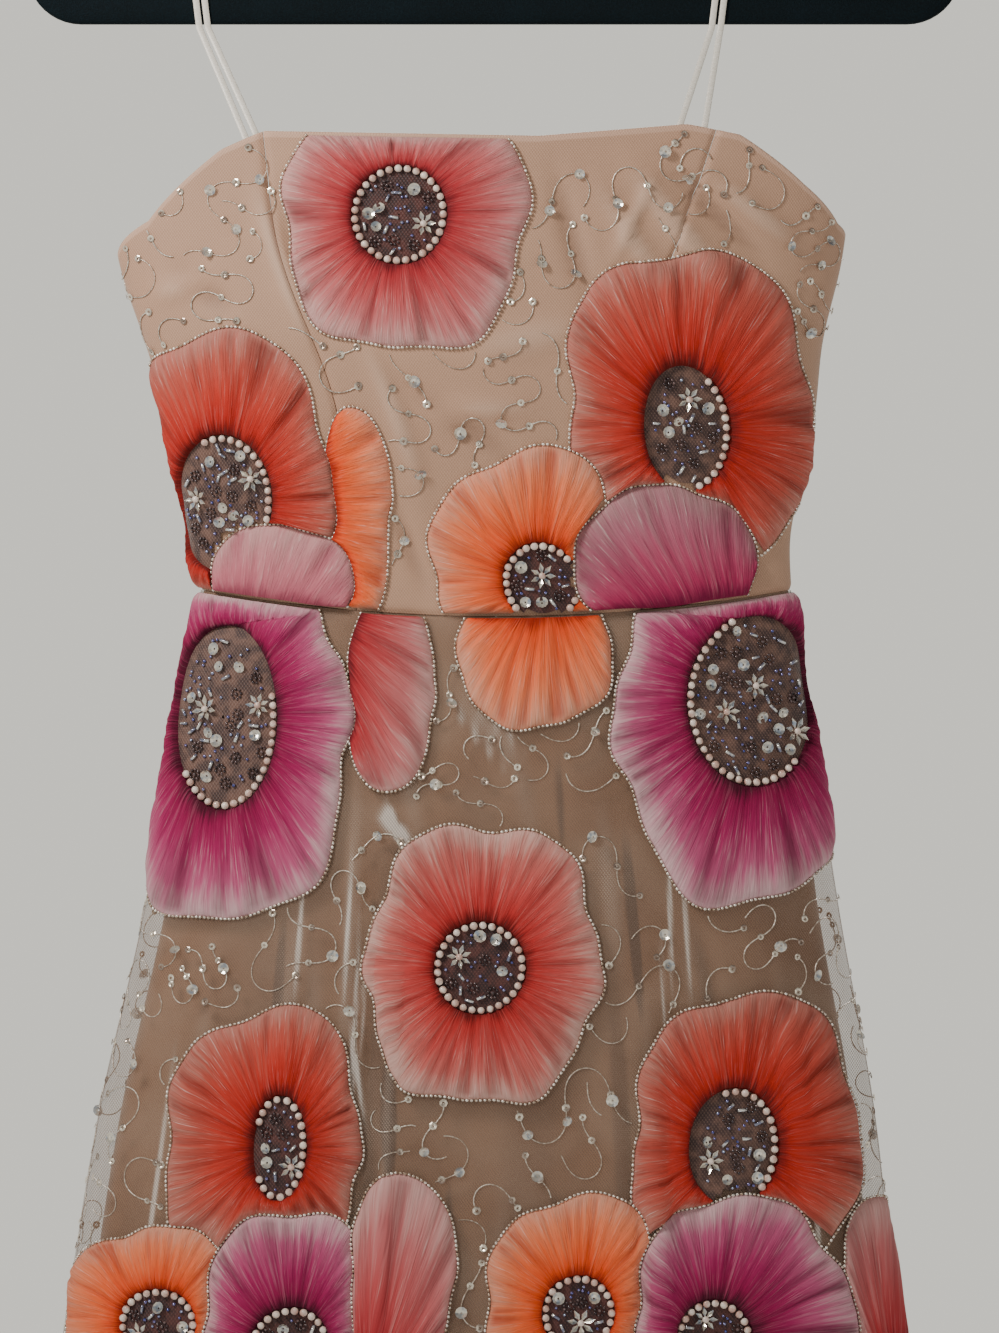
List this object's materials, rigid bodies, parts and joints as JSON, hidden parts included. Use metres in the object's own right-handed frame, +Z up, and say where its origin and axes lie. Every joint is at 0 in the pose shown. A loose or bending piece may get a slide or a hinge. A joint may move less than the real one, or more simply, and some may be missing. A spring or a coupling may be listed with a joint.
{
  "type": "strapless midi dress hung by satin tapes on a slim clothes hanger",
  "caption": "Strapless tulle midi dress with beaded net and gathered chiffon poppies, hanging by satin tapes from a slim flocked clothes hanger.",
  "frame": {"origin": "seat of the hanger's hook, the inner top of its bend, where the rail carries the hanger", "axes": "+Z up, the dress faces -Y, +X to the right as seen from the front"},
  "size_m": [0.5237, 0.1939, 1.3086],
  "materials": {
    "beaded_net": "nude net over nude satin, matt with a soft sheen, with silver thread scrolls and sequins",
    "tulle": "sheer nude tulle with silver thread scrolls and sequins",
    "nude_lining": "nude satin lining",
    "chiffon_coral": "gathered chiffon, coral at the heart and dusty pink at the rim",
    "chiffon_red": "gathered chiffon, red-coral at the heart and dusty pink at the rim",
    "chiffon_orange": "gathered chiffon, orange with a paler rim",
    "chiffon_pale": "gathered chiffon, dusty pale pink",
    "chiffon_mauve": "gathered chiffon, mauve pink with a pale rim",
    "chiffon_magenta": "gathered chiffon, magenta at the heart and pale lilac-pink at the rim",
    "chiffon_poppy": "gathered chiffon, poppy pink-red at the heart and dusty pink at the rim",
    "flower_disc": "dark brown net under beads and sequins",
    "pearl_beads": "small glossy pearls",
    "silver_beads": "silver-lined glass seed and bugle beads",
    "sequins": "iridescent silver sequins",
    "silver_thread": "silvery chain-stitch thread",
    "satin_tape": "ivory satin ribbon",
    "flocked_hanger": "dark green-black flocking",
    "hook_steel": "polished steel wire",
    "zip_metal": "nude lacquered metal"
  },
  "bodies": {
    "dress": {"bodice_back_left": "beaded_net", "bodice_back_right": "beaded_net", "bodice_front": "beaded_net", "bodice_side_front_left": "beaded_net", "bodice_side_front_right": "beaded_net", "flower_back_coral": "chiffon_coral", "flower_back_hem_coral": "chiffon_coral", "flower_back_hem_magenta": "chiffon_magenta", "flower_back_hem_orange": "chiffon_orange", "flower_back_hem_poppy": "chiffon_poppy", "flower_back_hem_red": "chiffon_red", "flower_back_low_coral": "chiffon_coral", "flower_back_low_magenta": "chiffon_magenta", "flower_back_low_orange": "chiffon_orange", "flower_back_low_red": "chiffon_red", "flower_back_magenta": "chiffon_magenta", "flower_back_orange": "chiffon_orange", "flower_back_poppy": "chiffon_poppy", "flower_back_red": "chiffon_red", "flower_centre_poppy": "chiffon_poppy", "flower_hem_coral": "chiffon_coral", "flower_hem_magenta": "chiffon_magenta", "flower_hem_magenta_left": "chiffon_magenta", "flower_hem_orange": "chiffon_orange", "flower_hem_orange_low": "chiffon_orange", "flower_hem_poppy": "chiffon_poppy", "flower_hem_red": "chiffon_red", "flower_hem_red_right": "chiffon_red", "flower_left_red": "chiffon_red", "flower_low_magenta_left": "chiffon_magenta", "flower_low_magenta_right": "chiffon_magenta", "flower_low_orange_left": "chiffon_orange", "flower_low_orange_right": "chiffon_orange", "flower_low_red_left": "chiffon_red", "flower_low_red_right": "chiffon_red", "flower_right_red": "chiffon_red", "flower_side_magenta_left": "chiffon_magenta", "flower_side_magenta_right": "chiffon_magenta", "flower_top_coral": "chiffon_coral", "flower_waist_orange": "chiffon_orange", "hanger_body": "flocked_hanger", "hanger_hook": "hook_steel", "hanging_tape_left": "satin_tape", "hanging_tape_right": "satin_tape", "petal_left_coral": "chiffon_coral", "petal_left_orange": "chiffon_orange", "petal_left_pale": "chiffon_pale", "petal_low_coral": "chiffon_coral", "petal_right_mauve": "chiffon_mauve", "petal_side_coral": "chiffon_coral", "petal_waist_orange": "chiffon_orange", "skirt_lining_back_left": "nude_lining", "skirt_lining_back_right": "nude_lining", "skirt_lining_front": "nude_lining", "skirt_tulle_back_left": "tulle", "skirt_tulle_back_right": "tulle", "skirt_tulle_front": "tulle", "zip_slider": "zip_metal"},
    "zip_tab": {"zip_pull": "zip_metal"}
  },
  "joints": [
    {"name": "zip_pull_swing", "type": "hinge", "parent": "dress", "child": "zip_tab", "pos_m": [-0.00561, 0.03143, -0.37], "axis": [1, 0, 0], "range_deg": [0, 160]}
  ]
}
